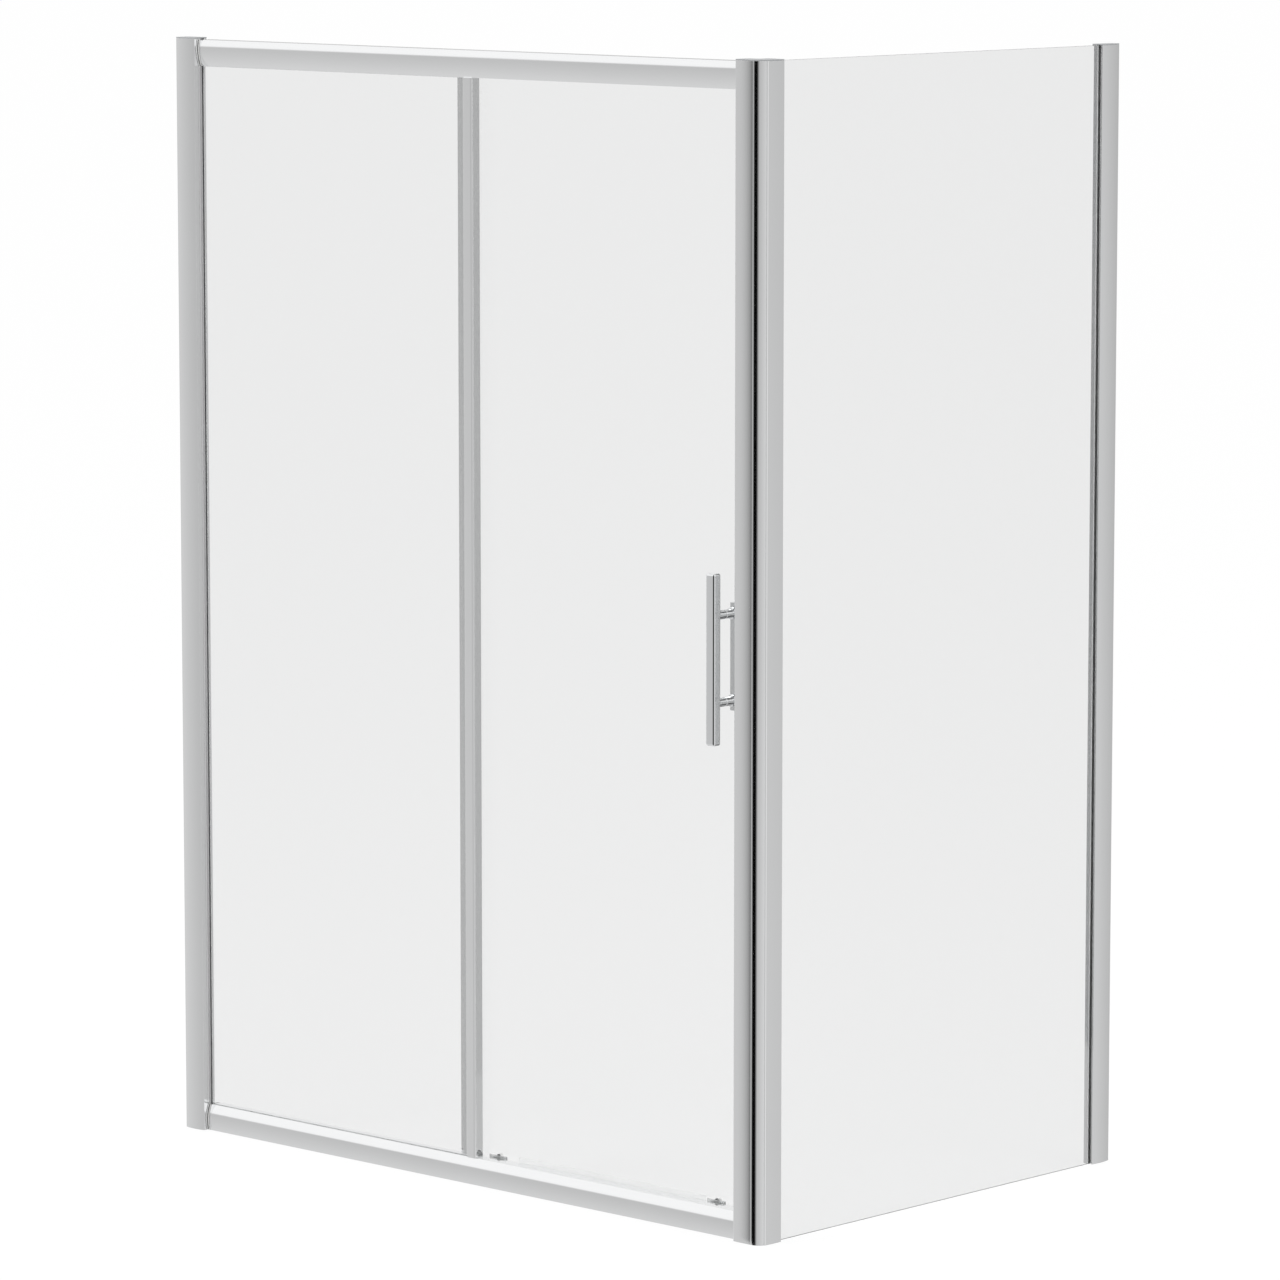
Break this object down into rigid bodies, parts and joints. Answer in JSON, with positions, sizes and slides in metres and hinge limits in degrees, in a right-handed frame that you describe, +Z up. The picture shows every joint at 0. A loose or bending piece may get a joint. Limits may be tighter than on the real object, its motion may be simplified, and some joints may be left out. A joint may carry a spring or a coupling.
{
  "type": "corner shower enclosure with sliding door",
  "caption": "Corner shower enclosure: fixed pane and roller-hung sliding door along the front, a side pane, polished frame profiles and a bar handle.",
  "frame": {"origin": "middle of the footprint at floor level", "axes": "+X along the front towards the corner post, +Y from the front towards the wall behind, +Z up"},
  "size_m": [1.39, 0.926, 1.95],
  "materials": {
    "polished_profile": "polished silver",
    "clear_glass": "clear toughened",
    "cap_plastic": "silver moulded",
    "plug_plastic": "white moulded",
    "dark_gasket": "dark grey",
    "clear_seal": "clear flexible",
    "clear_plastic": "clear moulded",
    "magnet_seal": "grey flexible",
    "fixing_steel": "plain stainless",
    "handle_chrome": "mirror",
    "fitting_chrome": "mirror",
    "roller_plastic": "white low-friction"
  },
  "bodies": {
    "frame": {"left_wall_channel": "polished_profile", "left_jamb": "polished_profile", "left_cover": "polished_profile", "left_cap": "cap_plastic", "left_jamb_cap": "cap_plastic", "right_wall_channel": "polished_profile", "right_jamb": "polished_profile", "right_cover": "polished_profile", "right_cap": "cap_plastic", "bottom_rail": "polished_profile", "top_rail": "polished_profile", "rail_end_plugs": "plug_plastic", "corner_front_profile": "polished_profile", "corner_post": "polished_profile", "corner_side_profile": "polished_profile", "corner_cap": "cap_plastic", "magnet_strip": "magnet_seal", "fixed_glass": "clear_glass", "side_glass": "clear_glass", "fixed_glass_gaskets": "dark_gasket", "rail_glass_strips": "dark_gasket", "side_glass_gaskets": "dark_gasket", "middle_profile": "polished_profile", "wiper_seal": "clear_seal", "rail_groove_covers": "polished_profile", "rail_screws": "fixing_steel", "adjusting_screws": "fixing_steel", "door_buffers": "dark_gasket"},
    "door": {"door_glass": "clear_glass", "door_edge_profile": "polished_profile", "door_hook_profile": "polished_profile", "closing_seal": "clear_seal", "drip_deflector": "clear_seal", "handle_bar": "handle_chrome", "handle_posts": "handle_chrome", "handle_flanges": "handle_chrome", "handle_washers": "clear_seal", "handle_plate": "handle_chrome", "handle_bolts": "fixing_steel", "top_axles": "fixing_steel", "top_axle_caps": "fitting_chrome", "roller_housings": "fitting_chrome", "carrier_plates": "clear_plastic", "clamp_plates": "roller_plastic", "roller_screws": "fixing_steel", "release_spring_left": "fixing_steel", "release_spring_right": "fixing_steel"},
    "top_roller_left": {"top_wheel_left": "roller_plastic", "top_bearing_left": "fixing_steel"},
    "release_left": {"release_slider_left": "roller_plastic", "release_axle_left": "fixing_steel"},
    "bottom_roller_left": {"bottom_wheel_left": "roller_plastic", "bottom_bearing_left": "fixing_steel"},
    "top_roller_right": {"top_wheel_right": "roller_plastic", "top_bearing_right": "fixing_steel"},
    "release_right": {"release_slider_right": "roller_plastic", "release_axle_right": "fixing_steel"},
    "bottom_roller_right": {"bottom_wheel_right": "roller_plastic", "bottom_bearing_right": "fixing_steel"}
  },
  "joints": [
    {"name": "door_slide", "type": "slide", "parent": "frame", "child": "door", "axis": [-1, 0, 0], "range_m": [0, 0.548]},
    {"name": "top_spin_left", "type": "hinge", "parent": "door", "child": "top_roller_left", "pos_m": [0.0444, -0.4155, 1.9173], "axis": [0, 1, 0], "range_deg": [-3490, 0]},
    {"name": "release_press_left", "type": "slide", "parent": "door", "child": "release_left", "axis": [0, 0, -1], "range_m": [0, 0.007], "stiffness_N_per_m": 600, "springref_m": -0.01, "deforming": ["release_spring_left"]},
    {"name": "bottom_spin_left", "type": "hinge", "parent": "release_left", "child": "bottom_roller_left", "pos_m": [0.0444, -0.4155, 0.0287], "axis": [0, 1, 0], "range_deg": [0, 3490]},
    {"name": "top_spin_right", "type": "hinge", "parent": "door", "child": "top_roller_right", "pos_m": [0.5529, -0.4155, 1.9173], "axis": [0, 1, 0], "range_deg": [-3490, 0]},
    {"name": "release_press_right", "type": "slide", "parent": "door", "child": "release_right", "axis": [0, 0, -1], "range_m": [0, 0.007], "stiffness_N_per_m": 600, "springref_m": -0.01, "deforming": ["release_spring_right"]},
    {"name": "bottom_spin_right", "type": "hinge", "parent": "release_right", "child": "bottom_roller_right", "pos_m": [0.5529, -0.4155, 0.0287], "axis": [0, 1, 0], "range_deg": [0, 3490]}
  ],
  "couplings": [
    {"joint": "top_spin_left", "follows": "door_slide", "rad_per_m": -111.11},
    {"joint": "bottom_spin_left", "follows": "door_slide", "rad_per_m": 111.11},
    {"joint": "top_spin_right", "follows": "door_slide", "rad_per_m": -111.11},
    {"joint": "bottom_spin_right", "follows": "door_slide", "rad_per_m": 111.11}
  ]
}
